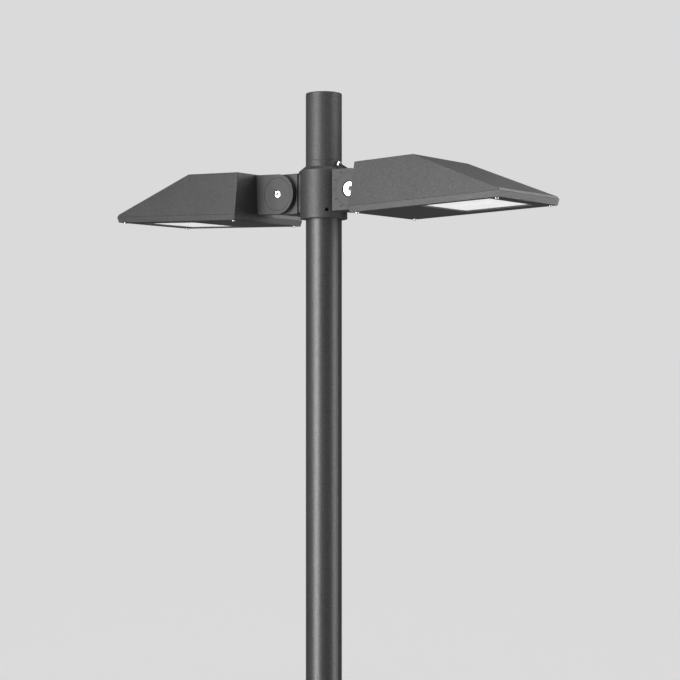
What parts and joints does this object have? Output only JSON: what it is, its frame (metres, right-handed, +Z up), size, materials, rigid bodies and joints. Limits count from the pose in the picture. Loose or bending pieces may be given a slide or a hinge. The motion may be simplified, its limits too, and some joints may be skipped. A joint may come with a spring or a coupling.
{
  "type": "twin-head pole-top floodlight",
  "caption": "Pole-top area light: two flat wedge-shaped LED heads on tilt brackets, opposite each other on a collar at the end of a round steel mast.",
  "frame": {"origin": "centre of the mast section's cut lower end", "axes": "+Z up along the mast, +X towards head a, -X towards head b"},
  "size_m": [0.9948, 0.229, 1.2498],
  "materials": {
    "graphite_powder_coat": "fine-texture graphite powder coat, satin",
    "graphite_mast_coat": "smooth graphite powder coat, semi-gloss",
    "stainless_steel": "turned stainless steel",
    "black_screw_steel": "blackened steel",
    "plain_aluminium": "plain milled aluminium",
    "galvanised_steel": "galvanised sheet",
    "black_rubber": "matt",
    "opal_glass": "satin white toughened glass",
    "white_optic": "frosted white optic",
    "white_board": "white solder mask",
    "driver_case": "light grey moulded case",
    "grey_nylon": "moulded nylon"
  },
  "bodies": {
    "mast": {"mast": "graphite_mast_coat"},
    "fitting": {"collar": "graphite_powder_coat", "seat_ring": "grey_nylon", "collar_set_screws": "black_screw_steel", "shoulder_lugs": "black_screw_steel", "shoulder_screws": "stainless_steel", "bracket_screws": "stainless_steel", "neck_seal": "black_rubber", "top_tube": "graphite_powder_coat", "top_cap": "graphite_powder_coat", "cap_seal": "black_rubber", "tie_rod": "stainless_steel", "cap_nut": "stainless_steel", "surge_module": "grey_nylon", "bracket_a": "graphite_powder_coat", "bracket_b": "graphite_powder_coat"},
    "head_a": {"housing_a": "graphite_powder_coat", "arm_a": "graphite_powder_coat", "arm_disc_a": "graphite_powder_coat", "arm_plate_a": "plain_aluminium", "arm_screws_a": "stainless_steel", "friction_disc_a": "black_rubber", "pivot_screw_a": "stainless_steel", "pivot_washer_a": "stainless_steel", "pivot_nut_a": "stainless_steel", "cover_frame_a": "graphite_powder_coat", "frame_gasket_a": "black_rubber", "cover_screws_a": "stainless_steel", "window_gasket_a": "black_rubber", "window_glass_a": "opal_glass", "glass_retainer_a": "plain_aluminium", "lens_panel_a": "white_optic", "led_board_a": "white_board", "heat_spreader_a": "plain_aluminium", "driver_tray_a": "galvanised_steel", "tray_screws_a": "stainless_steel", "driver_a": "driver_case", "mains_terminal_a": "grey_nylon"},
    "head_b": {"housing_b": "graphite_powder_coat", "arm_b": "graphite_powder_coat", "arm_disc_b": "graphite_powder_coat", "arm_plate_b": "plain_aluminium", "arm_screws_b": "stainless_steel", "friction_disc_b": "black_rubber", "pivot_screw_b": "stainless_steel", "pivot_washer_b": "stainless_steel", "pivot_nut_b": "stainless_steel", "cover_frame_b": "graphite_powder_coat", "frame_gasket_b": "black_rubber", "cover_screws_b": "stainless_steel", "window_gasket_b": "black_rubber", "window_glass_b": "opal_glass", "glass_retainer_b": "plain_aluminium", "lens_panel_b": "white_optic", "led_board_b": "white_board", "heat_spreader_b": "plain_aluminium", "driver_tray_b": "galvanised_steel", "tray_screws_b": "stainless_steel", "driver_b": "driver_case", "mains_terminal_b": "grey_nylon"}
  },
  "joints": [
    {"name": "collar_swivel", "type": "hinge", "parent": "mast", "child": "fitting", "pos_m": [0, 0, 1.041], "axis": [0, 0, 1], "range_deg": [-175, 175]},
    {"name": "tilt_a", "type": "hinge", "parent": "fitting", "child": "head_a", "pos_m": [0.095, 0, 1.041], "axis": [0, -1, 0], "range_deg": [-86.8, 88.1]},
    {"name": "tilt_b", "type": "hinge", "parent": "fitting", "child": "head_b", "pos_m": [-0.095, 0, 1.041], "axis": [0, 1, 0], "range_deg": [-86.8, 88.1]}
  ]
}
